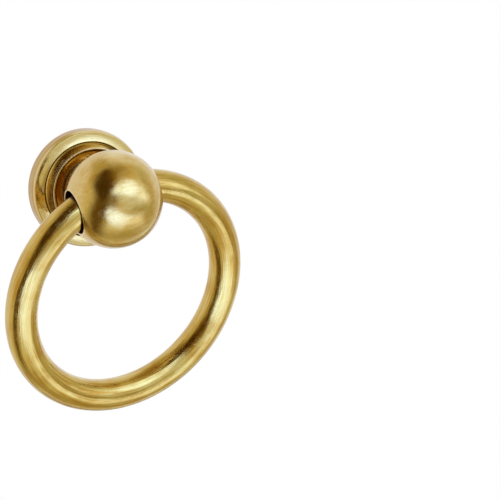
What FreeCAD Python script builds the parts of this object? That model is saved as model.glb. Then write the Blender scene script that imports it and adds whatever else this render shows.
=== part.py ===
import FreeCAD, Part
import math
import os

import Sketcher

# Ring pull handle in solid brass: a turned rose, a ball on a neck that stands out of it, and a ring
# of round bar that hangs in a hole through the ball.
# The origin is the centre of the rose's back face. +Y points into the drawer front, so the front of
# the pull faces -Y. +Z is up. Heights are measured forwards from the drawer front.

# How a sketch numbers the points of an edge, and its own root point and axes
WHOLE, START, END, CENTRE = range(4)
HORIZONTAL_AXIS, VERTICAL_AXIS = range(-1, -3, -1)
ROOT_POINT = (HORIZONTAL_AXIS, START)

# Ways to give an arc of an outline: sunk or raised by a depth on its chord, or raised to a radius
HOLLOW, CROWN, ROUND = "hollow", "crown", "round"

TOLERANCE = 1e-4

SIZES = {
    # rose: the backplate, turned from bar, from its collar outwards and then inwards
    "collar_radius": 10.5,
    "collar_height": 7.75,
    "collar_taper": 0.55,
    "collar_hollow": 0.06,
    "collar_lip": 0.4,
    "collar_lip_crown": 0.15,
    "bead_width": 0.2,
    "bead_rise": 0.35,
    "groove_width": 0.24,
    "groove_depth": 0.28,
    "band_width": 2.05,
    "band_height": 4.2,
    "band_hollow": 0.28,
    "rim_width": 0.46,
    "rim_height": 4.05,
    "rim_crown": 0.15,
    "side_height": 2.3,
    "back_chamfer": 0.3,
    "seat_radius": 6.9,
    "seat_height": 4.3,
    "dish_hollow": 0.7,
    # ball knob: ball, waisted neck, foot and spigot in one piece
    "ball_radius": 11.0,
    "ring_hole_rounding": 0.25,
    "neck_radius": 4.6,
    "neck_length": 4.9,
    "neck_hollow": 0.7,
    "neck_rounding": 0.8,
    "foot_rim": 0.8,
    "foot_clearance": 0.6,
    "spigot_radius": 3.4,
    "spigot_clearance": 0.05,
    "spigot_setback": 0.2,
    "spigot_chamfer": 0.3,
    "screw_bore_radius": 1.65,
    "screw_mouth_radius": 1.85,
    "screw_floor": 5.0,
    # ring: one round bar bent to a circle, its two straight ends meeting inside the ball
    "bar_radius": 3.65,
    "ring_radius": 26.3,
    "bend_radius": 10.0,
    "ring_clearance": 1.3,
    "ring_play": 0.35,
    "ring_slide": 0.5,
    "front_clearance": 0.1,
}

# The ring's circle crosses the hole's axis as far apart as the two mouths of the hole. Loose in the
# hole, it lies slid to the left and askew until the play that is left. It leans back until its
# lowest stretch rests on the drawer front: its reach and skew decide the lean, as the positive root
# of a quadratic in its sine.
DERIVED = {
    "band_radius": "Sizes.collar_radius + Sizes.bead_width + Sizes.groove_width",
    "rim_radius": "band_radius + Sizes.band_width",
    "rose_radius": "rim_radius + Sizes.rim_width",
    "lip_radius": "Sizes.collar_radius - Sizes.collar_taper",
    "bore_radius": "Sizes.spigot_radius + Sizes.spigot_clearance",
    "foot_radius": "Sizes.seat_radius - Sizes.foot_clearance",
    "foot_top": "Sizes.seat_height + Sizes.foot_rim",
    "neck_top": "foot_top + Sizes.neck_length",
    "ball_standoff": "neck_top + sqrt(Sizes.ball_radius ^ 2 - Sizes.neck_radius ^ 2)",
    "hole_radius": "Sizes.bar_radius + Sizes.ring_clearance",
    "screw_end": "ball_standoff - hole_radius - Sizes.screw_floor",
    "mouth": "sqrt(Sizes.ball_radius ^ 2 - hole_radius ^ 2)",
    "ring_drop": "sqrt(Sizes.ring_radius ^ 2 - mouth ^ 2)",
    "bend_cosine": "ring_drop / Sizes.ring_radius",
    "end_level": "(Sizes.ring_radius - Sizes.bend_radius) * bend_cosine + Sizes.bend_radius - ring_drop",
    "skew_sine": "(Sizes.ring_clearance - Sizes.ring_play) / (mouth + Sizes.ring_slide)",
    "ring_skew": "asin(skew_sine) / 1deg",
    "lean_room": "ball_standoff - Sizes.bar_radius - Sizes.front_clearance",
    "lean_square": "Sizes.ring_radius ^ 2 * (1 - skew_sine ^ 2) - ring_drop ^ 2",
    "lean_excess": "lean_room ^ 2 - (Sizes.ring_radius * skew_sine) ^ 2",
    "lean_root": "sqrt((lean_room * ring_drop) ^ 2 + lean_square * lean_excess)",
    "ring_lean": "asin(lean_excess / (lean_room * ring_drop + lean_root)) / 1deg",
}


def fill_sheet(doc, name, cells, prefix=""):
    """Writes one row for each value, its name in column A and the value, with that alias, in B."""
    sheet = doc.addObject("Spreadsheet::Sheet", name)
    for row, (alias, value) in enumerate(cells.items(), start=1):
        sheet.set(f"A{row}", alias)
        sheet.setAlias(f"B{row}", alias)
        sheet.set(f"B{row}", f"{prefix}{value}")
        doc.recompute()
    return sheet


def new_body(doc, label):
    body = doc.addObject("PartDesign::Body", label)
    body.Label = label
    return body


def new_sketch(body, name, role):
    """Sketch on one of the body's own origin planes."""
    sketch = body.newObject("Sketcher::SketchObject", name)
    plane = next(feature for feature in body.Origin.OriginFeatures if feature.Role == role)
    sketch.AttachmentSupport = [(plane, "")]
    sketch.MapMode = "FlatFace"
    body.Document.recompute()
    return sketch


def value_of(sketch, expression):
    result = sketch.evalExpression(expression)
    return float(getattr(result, "Value", result))


def bind(sketch, kind, references, expression):
    """Adds a dimension whose value follows an expression."""
    datum = Sketcher.Constraint(kind, *references, value_of(sketch, expression))
    index = sketch.addConstraint(datum)
    sketch.setExpression(f"Constraints[{index}]", expression)


def pin(sketch, point, radius, height):
    """Holds a point at a radius from the turning axis and a height in front of the drawer front."""
    if radius is None:
        sketch.addConstraint(Sketcher.Constraint("PointOnObject", *point, VERTICAL_AXIS))
    else:
        bind(sketch, "DistanceX", (*ROOT_POINT, *point), radius)
    if height is None:
        sketch.addConstraint(Sketcher.Constraint("PointOnObject", *point, HORIZONTAL_AXIS))
    else:
        bind(sketch, "DistanceY", (*point, *ROOT_POINT), height)


def arc_radius(corner, following):
    """Expression for the radius of the arc from a corner to the next."""
    kind, size = corner[2]
    if kind == ROUND:
        return size
    radius_step = f"({corner[0]}) - ({following[0]})"
    height_step = f"({corner[1]}) - ({following[1]})"
    return f"(({radius_step}) ^ 2 + ({height_step}) ^ 2) / (8 * {size}) + {size} / 2"


def edge_between(start, end, radius, kind):
    """Line between two points, or an arc, of an outline that runs with its inside on the right.

    Returns the edge and which of its own ends, which an arc numbers anticlockwise, lie at start and
    at end."""
    if radius is None:
        return Part.LineSegment(start, end), START, END
    chord = end - start
    outwards = FreeCAD.Vector(-chord.y, chord.x, 0).normalize()
    depth = radius - math.sqrt(radius ** 2 - (chord.Length / 2) ** 2)
    if kind == HOLLOW:
        return Part.Arc(start, (start + end) / 2 - outwards * depth, end), START, END
    return Part.Arc(start, (start + end) / 2 + outwards * depth, end), END, START


def turned_profile(sketch, corners):
    """Closed outline in a half plane through the axis.

    Each corner is (radius, height, arc): expressions for its place, None for zero, and the kind and
    size of the arc that leads to the next corner, None for a straight edge."""
    def number(expression):
        return 0.0 if expression is None else value_of(sketch, expression)

    places = [FreeCAD.Vector(number(radius), -number(height), 0) for radius, height, _ in corners]
    radii = [corner[2] and arc_radius(corner, corners[(index + 1) % len(corners)])
             for index, corner in enumerate(corners)]
    joints = []
    for index, corner in enumerate(corners):
        radius = radii[index] and number(radii[index])
        kind = corner[2] and corner[2][0]
        edge, first, last = edge_between(places[index], places[(index + 1) % len(places)], radius, kind)
        geometry = sketch.addGeometry(edge, False)
        joints.append(((geometry, first), (geometry, last)))
    for index, (radius, height, _) in enumerate(corners):
        here = joints[index][0]
        sketch.addConstraint(Sketcher.Constraint("Coincident", *joints[index - 1][1], *here))
        pin(sketch, here, radius, height)
        if radii[index]:
            bind(sketch, "Radius", (here[WHOLE],), radii[index])


def revolve(body, sketch, name):
    turned = body.newObject("PartDesign::Revolution", name)
    turned.Profile = sketch
    turned.ReferenceAxis = (sketch, ["V_Axis"])
    turned.Angle = 360
    body.Document.recompute()
    return turned


def near(value, target):
    return abs(value - target) < TOLERANCE


def rim_edges(feature, on_rim):
    """Names of the feature's edges whose ends and middle are all on a rim."""
    names = []
    for index, edge in enumerate(feature.Shape.Edges, start=1):
        if edge.Degenerated:
            continue
        middle = edge.valueAt((edge.FirstParameter + edge.LastParameter) / 2)
        if all(on_rim(point) for point in (middle, *(vertex.Point for vertex in edge.Vertexes))):
            names.append(f"Edge{index}")
    return names


def round_edges(body, base, names, radius, label):
    rounding = body.newObject("PartDesign::Fillet", label)
    rounding.Base = (base, names)
    rounding.setExpression("Radius", radius)
    body.Document.recompute()
    return rounding


def require_cut(before, after):
    """Stops if a cut took nothing away, which a failed one doesn't say by itself."""
    if after.Shape.Volume >= before.Shape.Volume:
        raise RuntimeError(f"{after.Name} cuts nothing")


def build_rose(doc):
    """Backplate: chamfered back, crowned rim, hollow band, fine groove, raised collar, dish, bore."""
    body = new_body(doc, "rose")
    sketch = new_sketch(body, "rose_profile", "XY_Plane")
    turned_profile(sketch, [
        ("Derived.bore_radius", None, None),
        ("Derived.rose_radius - Sizes.back_chamfer", None, None),
        ("Derived.rose_radius", "Sizes.back_chamfer", None),
        ("Derived.rose_radius", "Sizes.side_height", (CROWN, "Sizes.rim_crown")),
        ("Derived.rim_radius", "Sizes.rim_height", (HOLLOW, "Sizes.band_hollow")),
        ("Derived.band_radius", "Sizes.band_height", None),
        ("Derived.band_radius - Sizes.groove_width / 2", "Sizes.band_height - Sizes.groove_depth", None),
        ("Derived.band_radius - Sizes.groove_width", "Sizes.band_height", None),
        ("Sizes.collar_radius", "Sizes.band_height + Sizes.bead_rise", (HOLLOW, "Sizes.collar_hollow")),
        ("Derived.lip_radius", "Sizes.collar_height", (CROWN, "Sizes.collar_lip_crown")),
        ("Derived.lip_radius - Sizes.collar_lip", "Sizes.collar_height", (HOLLOW, "Sizes.dish_hollow")),
        ("Sizes.seat_radius", "Sizes.seat_height", None),
        ("Derived.bore_radius", "Sizes.seat_height", None),
    ])
    revolve(body, sketch, "rose_turning")
    return body


def build_ball_knob(doc):
    """Ball on a waisted neck, with a spigot through the rose, a ring hole and a tapped back."""
    body = new_body(doc, "ball_knob")
    sketch = new_sketch(body, "knob_profile", "XY_Plane")
    turned_profile(sketch, [
        (None, "Sizes.spigot_setback", None),
        ("Sizes.spigot_radius - Sizes.spigot_chamfer", "Sizes.spigot_setback", None),
        ("Sizes.spigot_radius", "Sizes.spigot_setback + Sizes.spigot_chamfer", None),
        ("Sizes.spigot_radius", "Sizes.seat_height", None),
        ("Derived.foot_radius", "Sizes.seat_height", None),
        ("Derived.foot_radius", "Derived.foot_top", (HOLLOW, "Sizes.neck_hollow")),
        ("Sizes.neck_radius", "Derived.neck_top", (ROUND, "Sizes.ball_radius")),
        (None, "Derived.ball_standoff + Sizes.ball_radius", None),
    ])
    turned = revolve(body, sketch, "knob_turning")
    neck_radius, neck_top, hole_radius, mouth, standoff = (value_of(sketch, expression) for expression in (
        "Sizes.neck_radius", "Derived.neck_top", "Derived.hole_radius", "Derived.mouth",
        "Derived.ball_standoff"))

    def on_neck_rim(point):
        return near(-point.y, neck_top) and near(math.hypot(point.x, point.z), neck_radius)

    def on_hole_rim(point):
        return near(abs(point.x), mouth) and near(math.hypot(point.y + standoff, point.z), hole_radius)

    neck = rim_edges(turned, on_neck_rim)
    eased = round_edges(body, turned, neck, "Sizes.neck_rounding", "neck_easing")
    drilled = drill_ring_hole(body, eased)
    rims = rim_edges(drilled, on_hole_rim)
    tap_back(body, round_edges(body, drilled, rims, "Sizes.ring_hole_rounding", "ring_hole_rims"))
    return body


def add_circle(sketch, radius, centre=(0, 0)):
    """Circle at a place in the sketch, its radius following an expression."""
    circle = Part.Circle(FreeCAD.Vector(*centre, 0), FreeCAD.Vector(0, 0, 1), value_of(sketch, radius))
    geometry = sketch.addGeometry(circle, False)
    bind(sketch, "Radius", (geometry,), radius)
    return geometry


def drill_ring_hole(body, base):
    """Hole right through the ball along X, for the ring."""
    sketch = new_sketch(body, "ring_hole_circle", "YZ_Plane")
    circle = add_circle(sketch, "Derived.hole_radius", (-value_of(sketch, "Derived.ball_standoff"), 0))
    sketch.addConstraint(Sketcher.Constraint("PointOnObject", circle, CENTRE, HORIZONTAL_AXIS))
    bind(sketch, "DistanceX", (circle, CENTRE, *ROOT_POINT), "Derived.ball_standoff")
    hole = body.newObject("PartDesign::Pocket", "ring_hole")
    hole.Profile = sketch
    hole.Type = "ThroughAll"
    hole.Midplane = True
    body.Document.recompute()
    require_cut(base, hole)
    return hole


def tap_back(body, base):
    """Blind hole for the fixing screw, at the core size of its thread, up the spigot's axis."""
    sketch = new_sketch(body, "screw_bore_circle", "XZ_Plane")
    sketch.setExpression("AttachmentOffset.Base.z", "Sizes.spigot_setback")
    circle = add_circle(sketch, "Sizes.screw_bore_radius")
    sketch.addConstraint(Sketcher.Constraint("Coincident", circle, CENTRE, *ROOT_POINT))
    body.Document.recompute()
    bore = body.newObject("PartDesign::Hole", "screw_bore")
    bore.Profile = sketch
    bore.Reversed = True
    bore.Threaded = False
    bore.DepthType = "Dimension"
    bore.DrillPoint = "Angled"
    bore.setExpression("Diameter", "2 * Sizes.screw_bore_radius")
    bore.setExpression("Depth", "Derived.screw_end - Sizes.spigot_setback")
    bore.HoleCutType = "Countersink"
    bore.setExpression("HoleCutDiameter", "2 * Sizes.screw_mouth_radius")
    body.Document.recompute()
    require_cut(base, bore)


def ring_path(body):
    """Centre line of the ring in its own plane, from the meeting of the bar's two ends round to it.

    A straight end inside the ball eases by a bend into the circle, on each side alike."""
    sketch = new_sketch(body, "ring_path", "XZ_Plane")
    radius = value_of(sketch, "Sizes.ring_radius")
    drop = value_of(sketch, "Derived.ring_drop")
    bend = value_of(sketch, "Sizes.bend_radius")
    level = value_of(sketch, "Derived.end_level")
    upright = math.pi / 2
    sweep = math.acos(drop / radius)
    end_width = (radius - bend) * math.sin(sweep)
    normal = FreeCAD.Vector(0, 0, 1)
    loop_circle = Part.Circle(FreeCAD.Vector(0, -drop, 0), normal, radius)
    right_circle, left_circle = (
        Part.Circle(FreeCAD.Vector(side * end_width, level - bend, 0), normal, bend) for side in (1, -1))
    middle, right_tip, left_tip = (
        FreeCAD.Vector(side * end_width, level, 0) for side in (0, 1, -1))
    right_end, right_bend, loop, left_bend, left_end = sketch.addGeometry([
        Part.LineSegment(middle, right_tip),
        Part.ArcOfCircle(right_circle, upright - sweep, upright),
        Part.ArcOfCircle(loop_circle, upright + sweep, upright - sweep + 2 * math.pi),
        Part.ArcOfCircle(left_circle, upright, upright + sweep),
        Part.LineSegment(left_tip, middle),
    ], False)
    for constraint in (
        ("Coincident", right_end, START, left_end, END),
        ("PointOnObject", right_end, START, VERTICAL_AXIS),
        ("Horizontal", right_end),
        ("Horizontal", left_end),
        ("Tangent", right_end, END, right_bend, END),
        ("Tangent", right_bend, START, loop, END),
        ("Tangent", loop, START, left_bend, END),
        ("Tangent", left_bend, START, left_end, START),
        ("PointOnObject", loop, CENTRE, VERTICAL_AXIS),
        ("Equal", right_bend, left_bend),
    ):
        sketch.addConstraint(Sketcher.Constraint(*constraint))
    bind(sketch, "Radius", (loop,), "Sizes.ring_radius")
    bind(sketch, "Radius", (right_bend,), "Sizes.bend_radius")
    bind(sketch, "DistanceY", (loop, CENTRE, *ROOT_POINT), "Derived.ring_drop")
    bind(sketch, "DistanceX", (*ROOT_POINT, loop, END), "Derived.mouth")
    body.Document.recompute()
    return sketch


def build_pull_ring(doc):
    """Ring of round bar, in its own plane with the hole's axis at its origin."""
    body = new_body(doc, "pull_ring")
    path = ring_path(body)
    section = new_sketch(body, "bar_section", "YZ_Plane")
    circle = add_circle(section, "Sizes.bar_radius", (0, value_of(section, "Derived.end_level")))
    section.addConstraint(Sketcher.Constraint("PointOnObject", circle, CENTRE, VERTICAL_AXIS))
    bind(section, "DistanceY", (*ROOT_POINT, circle, CENTRE), "Derived.end_level")
    bar = body.newObject("PartDesign::AdditivePipe", "ring_bar")
    bar.Profile = section
    bar.Spine = path
    doc.recompute()
    return body


def hang_ring(body):
    """Puts the ring into the ball's hole, slid along it, askew and leaning back on the drawer front."""
    body.setExpression(
        "Placement",
        "placement(vector(-Sizes.ring_slide; -Derived.ball_standoff; 0);"
        " rotation(vector(1; 0; 0); Derived.ring_lean) * rotation(vector(0; 0; 1); Derived.ring_skew))")


def check_and_write(doc, bodies):
    """Stops at a failed feature or a shape that isn't one valid solid, then writes each sub-part."""
    failed = [item.Name for item in doc.Objects if {"Invalid", "Error"} & set(item.State)]
    if failed:
        raise RuntimeError(f"failed features: {failed}")
    for body in bodies:
        shape = body.Shape
        if shape.isNull() or not shape.isValid() or len(shape.Solids) != 1:
            raise RuntimeError(f"{body.Label} isn't one valid solid")
    os.makedirs("parts", exist_ok=True)
    for body in bodies:
        body.Shape.exportStep(f"parts/{body.Label}.step")
        print(f"{body.Label}: {body.Shape.Volume:.1f} mm3")


def main():
    doc = FreeCAD.newDocument("ring_pull")
    fill_sheet(doc, "Sizes", SIZES)
    fill_sheet(doc, "Derived", DERIVED, prefix="=")
    doc.recompute()
    bodies = [build_rose(doc), build_ball_knob(doc), build_pull_ring(doc)]
    hang_ring(bodies[2])
    doc.recompute()
    check_and_write(doc, bodies)


main()
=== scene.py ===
"""Ring pull handle in solid brass: a turned rose, a ball on a neck and a ring that hangs through it.

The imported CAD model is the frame. Each node is replaced by a finer surface of the same size, worked
out in millimetres as a function of two parameters and dressed as polished brass. Only the rose's
band departs from its solid: it is flatter, and 0.25 mm higher at its inner edge.
"""

import logging
import math
from dataclasses import dataclass

import bmesh
import bpy
import numpy as np
from mathutils import Matrix, Vector


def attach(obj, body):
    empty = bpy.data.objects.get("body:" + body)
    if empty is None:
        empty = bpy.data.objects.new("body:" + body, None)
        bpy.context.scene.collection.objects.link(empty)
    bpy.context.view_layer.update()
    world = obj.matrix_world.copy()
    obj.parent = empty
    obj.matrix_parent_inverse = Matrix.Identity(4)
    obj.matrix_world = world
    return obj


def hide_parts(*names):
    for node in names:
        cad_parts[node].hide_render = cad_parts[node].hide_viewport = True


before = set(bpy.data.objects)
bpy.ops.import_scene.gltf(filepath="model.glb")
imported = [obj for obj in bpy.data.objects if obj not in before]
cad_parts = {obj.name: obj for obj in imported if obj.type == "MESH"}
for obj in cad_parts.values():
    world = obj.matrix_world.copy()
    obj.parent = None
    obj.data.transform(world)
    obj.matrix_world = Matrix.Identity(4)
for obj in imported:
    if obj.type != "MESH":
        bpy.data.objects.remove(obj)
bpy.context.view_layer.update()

MM = 0.001
FULL_TURN = 2 * math.pi

# Attributes of each piece that its finish reads
PLACE = "place_mm"
# Shares of residue with painted shade, of painted amber shade, and of wear
SHARES = "residue_shade_amber_shade_worn"

# Value that Blender's noise lies evenly round
NOISE_MIDDLE = 0.5

log = logging.getLogger("ring_pull")


def linear_colour(sheet_colour: str) -> tuple[float, float, float, float]:
    """Turns an sRGB hex colour into linear light, with full alpha.

    Args:
        sheet_colour: Six hex digits, such as "c9a24e".

    Returns:
        Linear red, green and blue, and one for alpha.
    """
    channels = np.array([int(sheet_colour[i:i + 2], 16) for i in (0, 2, 4)]) / 255
    linear = np.where(channels <= 0.04045, channels / 12.92, ((channels + 0.055) / 1.055) ** 2.4)
    return (*linear.tolist(), 1.0)


def add_node(tree: bpy.types.NodeTree, kind: str, settings: dict | None = None,
             inputs: dict | None = None) -> bpy.types.Node:
    """Adds a shader node with its settings, and sets or links its inputs.

    Args:
        tree: The node tree that gets the node.
        kind: Blender's name for the kind of node.
        settings: Values of the node's own properties.
        inputs: For each input, by name or number, a plain value or the output that feeds it.

    Returns:
        The new node.
    """
    node = tree.nodes.new(kind)
    for name, value in (settings or {}).items():
        setattr(node, name, value)
    for name, value in (inputs or {}).items():
        if isinstance(value, bpy.types.NodeSocket):
            tree.links.new(value, node.inputs[name])
        else:
            node.inputs[name].default_value = value
    return node


def arc_edge(start: np.ndarray, end: np.ndarray, bulge: float, step: float) -> np.ndarray:
    """Points of a straight edge or an arc, without its end point.

    An arc is given by its bulge, the height of its crown over its chord, which is positive to the
    right of the way it runs. Its points are the chord's, moved to R cos t over the chord's level.

    Args:
        start: First point, in millimetres.
        end: Last point, which is left out.
        bulge: Height of the crown in millimetres, negative for a hollow, zero for a straight edge.
        step: Distance between points in millimetres.

    Returns:
        An array of points, one in each row.
    """
    chord = end - start
    length = float(np.hypot(*chord))
    share = np.linspace(0, 1, max(2, round(length / step)), endpoint=False)[:, None]
    if not bulge:
        return start + share * chord
    along = chord / length
    right = np.array([along[1], -along[0]])
    radius = (length ** 2 / 4 + bulge ** 2) / (2 * abs(bulge))
    half = math.asin(length / 2 / radius)
    angle = (2 * share - 1) * half
    rise = radius * (np.cos(angle) - math.cos(half)) * math.copysign(1, bulge)
    return start + (length / 2 + radius * np.sin(angle)) * along + rise * right


def circles_meet(first: np.ndarray, first_radius: float, second: np.ndarray,
                 second_radius: float) -> np.ndarray:
    """Where two circles cross, on the left of the way from the first centre to the second.

    Args:
        first: Centre of the first circle.
        first_radius: Its radius.
        second: Centre of the second circle.
        second_radius: Its radius.

    Returns:
        The crossing point.
    """
    between = second - first
    distance = float(np.hypot(*between))
    along = (distance ** 2 + first_radius ** 2 - second_radius ** 2) / (2 * distance)
    aside = math.sqrt(first_radius ** 2 - along ** 2)
    unit = between / distance
    return first + along * unit + aside * np.array([-unit[1], unit[0]])


def arc_points(centre: np.ndarray, radius: float, start: float, end: float, count: int) -> np.ndarray:
    """Points of an arc, the short way round from a start angle to an end angle.

    Args:
        centre: The arc's centre.
        radius: Its radius.
        start: Angle of its first point, in radians.
        end: Angle of its last point.
        count: Number of points.

    Returns:
        The points, both ends among them.
    """
    sweep = (end - start + math.pi) % FULL_TURN - math.pi
    angles = start + sweep * np.linspace(0, 1, count)
    return centre + radius * np.column_stack([np.cos(angles), np.sin(angles)])


def spaced_by_bend(outline: np.ndarray, count: int, closed: bool, bend_weight: float) -> np.ndarray:
    """Picks points along a fine outline, more of them where it bends.

    The points are equal steps of the sum of the outline's length and its turning times a weight.

    Args:
        outline: Fine points of the outline, one in each row.
        count: How many points to pick.
        closed: True if the last point joins the first.
        bend_weight: Length in millimetres that one radian of turning counts as.

    Returns:
        The picked points.
    """
    path = np.vstack([outline, outline[:1]]) if closed else outline
    steps = np.diff(path, axis=0)
    heading = np.unwrap(np.arctan2(steps[:, 1], steps[:, 0]))
    turning = np.abs(np.gradient(heading))
    weight = np.hypot(*steps.T) + bend_weight * turning
    reach = np.concatenate([[0], np.cumsum(weight)])
    wanted = np.linspace(0, reach[-1], count, endpoint=not closed)
    return np.column_stack([np.interp(wanted, reach, path[:, axis]) for axis in range(2)])


def soften(outline: np.ndarray, spread: float, step: float) -> np.ndarray:
    """Rounds the corners of a closed outline, as polishing does.

    Each point becomes the average of its neighbours along the outline, weighted by a bell curve.

    Args:
        outline: Evenly spaced points of the closed outline.
        spread: Width of the bell curve in millimetres.
        step: Distance between points in millimetres.

    Returns:
        The softened outline, as many points.
    """
    reach = math.ceil(3 * spread / step)
    offsets = np.arange(-reach, reach + 1)
    weights = np.exp(-0.5 * (offsets * step / spread) ** 2)
    weights /= weights.sum()
    padded = np.vstack([outline[-reach:], outline, outline[:reach]])
    return np.column_stack([np.convolve(padded[:, axis], weights, "valid") for axis in range(2)])


def grid_faces(rows: int, columns: int, rows_closed: bool, columns_closed: bool) -> np.ndarray:
    """Quads of a grid whose points are numbered along each row in turn.

    Args:
        rows: Number of rows.
        columns: Number of points in a row.
        rows_closed: True if the last row joins the first.
        columns_closed: True if the end of a row joins its start.

    Returns:
        Four point numbers for each quad.
    """
    row = np.arange(rows if rows_closed else rows - 1)[:, None]
    column = np.arange(columns if columns_closed else columns - 1)[None, :]
    next_row = (row + 1) % rows
    next_column = (column + 1) % columns
    corners = [row * columns + column, row * columns + next_column,
               next_row * columns + next_column, next_row * columns + column]
    quads = np.stack([np.broadcast_to(corner, (row.size, column.size)) for corner in corners], -1)
    return quads.reshape(-1, 4)


def revolved(outline: np.ndarray, angles: np.ndarray) -> np.ndarray:
    """Carries an outline round the Y axis.

    A point at radius r and height h goes to (r cos a, -h, r sin a) at each angle a.

    Args:
        outline: Radius and height of each point, in millimetres.
        angles: The angles, in radians.

    Returns:
        Points numbered along the outline in each row, one row for each angle.
    """
    radius, height = outline.T
    return np.stack([np.cos(angles)[:, None] * radius,
                     np.broadcast_to(-height, (angles.size, height.size)),
                     np.sin(angles)[:, None] * radius], -1).reshape(-1, 3)


def used_only(points: np.ndarray, faces: np.ndarray) -> tuple[np.ndarray, np.ndarray]:
    """Leaves out the points that no face uses, and numbers the rest anew.

    Args:
        points: One point in each row.
        faces: Point numbers of each face, with -1 for a missing fourth corner.

    Returns:
        The points that are left, and the faces with the new numbers.
    """
    # One spare entry at the end takes the -1 of the missing corners
    used = np.zeros(len(points) + 1, bool)
    used[faces] = True
    used[-1] = False
    numbers = np.cumsum(used) - 1
    return points[used[:-1]], np.where(faces >= 0, numbers[faces], -1)


def new_piece(name: str, points: np.ndarray, faces: np.ndarray) -> bpy.types.Object:
    """Makes a smooth mesh object from points in millimetres.

    Args:
        name: The piece's name.
        points: One point in each row, in millimetres.
        faces: Point numbers of each face, with -1 for a missing fourth corner.

    Returns:
        The object, at the origin.
    """
    mesh = bpy.data.meshes.new(name)
    sizes = np.where(faces[:, 3] >= 0, 4, 3)
    starts = np.concatenate([[0], np.cumsum(sizes)[:-1]])
    corners = faces[faces >= 0]
    mesh.vertices.add(len(points))
    mesh.vertices.foreach_set("co", (points * MM).astype(np.float32).ravel())
    mesh.loops.add(len(corners))
    mesh.loops.foreach_set("vertex_index", corners.astype(np.int32))
    mesh.polygons.add(len(faces))
    mesh.polygons.foreach_set("loop_start", starts.astype(np.int32))
    mesh.polygons.foreach_set("use_smooth", np.ones(len(faces), bool))
    mesh.update(calc_edges=True)
    mesh.validate()
    piece = bpy.data.objects.new(name, mesh)
    bpy.context.scene.collection.objects.link(piece)
    return piece


def new_material(name: str) -> bpy.types.Material:
    """Makes a material whose node tree is empty.

    Args:
        name: The material's name.

    Returns:
        The material.
    """
    material = bpy.data.materials.new(name)
    material.use_nodes = True
    material.node_tree.nodes.clear()
    return material


def smooth(value: np.ndarray, start: float, end: float) -> np.ndarray:
    """Passes smoothly from zero to one while the value goes from start to end."""
    share = np.clip((value - start) / (end - start), 0, 1)
    return share * share * (3 - 2 * share)


@dataclass(frozen=True)
class Grain:
    """One layer of unevenness: cloudy noise of a size in millimetres along each axis of the place.

    Its detail is the number of finer octaves in it.
    """

    size: tuple[float, float, float]
    height: float
    detail: float = 2.0

    def lay(self, tree: bpy.types.NodeTree, place: bpy.types.NodeSocket,
            under: bpy.types.NodeSocket | float) -> bpy.types.NodeSocket:
        """Adds the noise, times the layer's height, to what lies under it.

        Args:
            tree: The material's node tree.
            place: Place on the surface in millimetres.
            under: Height, or other value, of the layers so far.

        Returns:
            The sum.
        """
        scaled = add_node(tree, "ShaderNodeVectorMath", {"operation": "DIVIDE"}, {
            0: place, 1: self.size}).outputs[0]
        cloud = add_node(tree, "ShaderNodeTexNoise", inputs={
            "Vector": scaled, "Scale": 1.0, "Detail": self.detail}).outputs[0]
        centred = add_node(tree, "ShaderNodeMath", {"operation": "SUBTRACT"}, {
            0: cloud, 1: NOISE_MIDDLE}).outputs[0]
        return add_node(tree, "ShaderNodeMath", {"operation": "MULTIPLY_ADD"}, {
            0: centred, 1: self.height, 2: under}).outputs[0]


@dataclass(frozen=True)
class Scratches:
    """One layer of fine scratches in one direction, broken up into patches.

    Noise has one size along the turned first axis of the place and another across it, both in
    millimetres. It crosses its middle value along thin lines in its longer direction, and where it
    comes nearer to that value than its width there is a scratch. Real scratches are 0.02 mm wide, too
    fine to see, and these are drawn about 0.05 mm wide. They fade in where another noise, of the
    patches' size, passes from the first to the second of their edges.
    """

    along: float
    across: float
    turn: tuple[float, float, float]
    width: float = 0.03
    detail: float = 1.0
    patch_size: float = 3.0
    patch_edges: tuple[float, float] = (0.42, 0.58)

    def lay(self, tree: bpy.types.NodeTree, place: bpy.types.NodeSocket,
            under: bpy.types.NodeSocket | float) -> bpy.types.NodeSocket:
        """Joins the scratches with those so far.

        Args:
            tree: The material's node tree.
            place: Place on the surface in millimetres.
            under: One on the scratches so far.

        Returns:
            One on a scratch, zero off it.
        """
        turned = add_node(tree, "ShaderNodeVectorRotate", {"rotation_type": "EULER_XYZ"}, {
            "Vector": place, "Rotation": tuple(math.radians(angle) for angle in self.turn)}).outputs[0]
        drawn_out = add_node(tree, "ShaderNodeVectorMath", {"operation": "DIVIDE"}, {
            0: turned, 1: (self.along, self.across, self.across)}).outputs[0]
        hairs = add_node(tree, "ShaderNodeTexNoise", inputs={
            "Vector": drawn_out, "Scale": 1.0, "Detail": self.detail}).outputs[0]
        off = add_node(tree, "ShaderNodeMath", {"operation": "SUBTRACT"}, {
            0: hairs, 1: NOISE_MIDDLE}).outputs[0]
        away = add_node(tree, "ShaderNodeMath", {"operation": "ABSOLUTE"}, {0: off}).outputs[0]
        line = add_node(tree, "ShaderNodeMapRange", inputs={
            "Value": away, "From Max": self.width, "To Min": 1.0, "To Max": 0.0}).outputs[0]
        cloud = add_node(tree, "ShaderNodeTexNoise", inputs={
            "Vector": turned, "Scale": 1 / self.patch_size, "Detail": self.detail}).outputs[0]
        patch = add_node(tree, "ShaderNodeMapRange", inputs={
            "Value": cloud, "From Min": self.patch_edges[0],
            "From Max": self.patch_edges[1]}).outputs[0]
        shown = add_node(tree, "ShaderNodeMath", {"operation": "MULTIPLY"}, {
            0: line, 1: patch}).outputs[0]
        return add_node(tree, "ShaderNodeMath", {"operation": "MAXIMUM"}, {
            0: shown, 1: under}).outputs[0]


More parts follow.
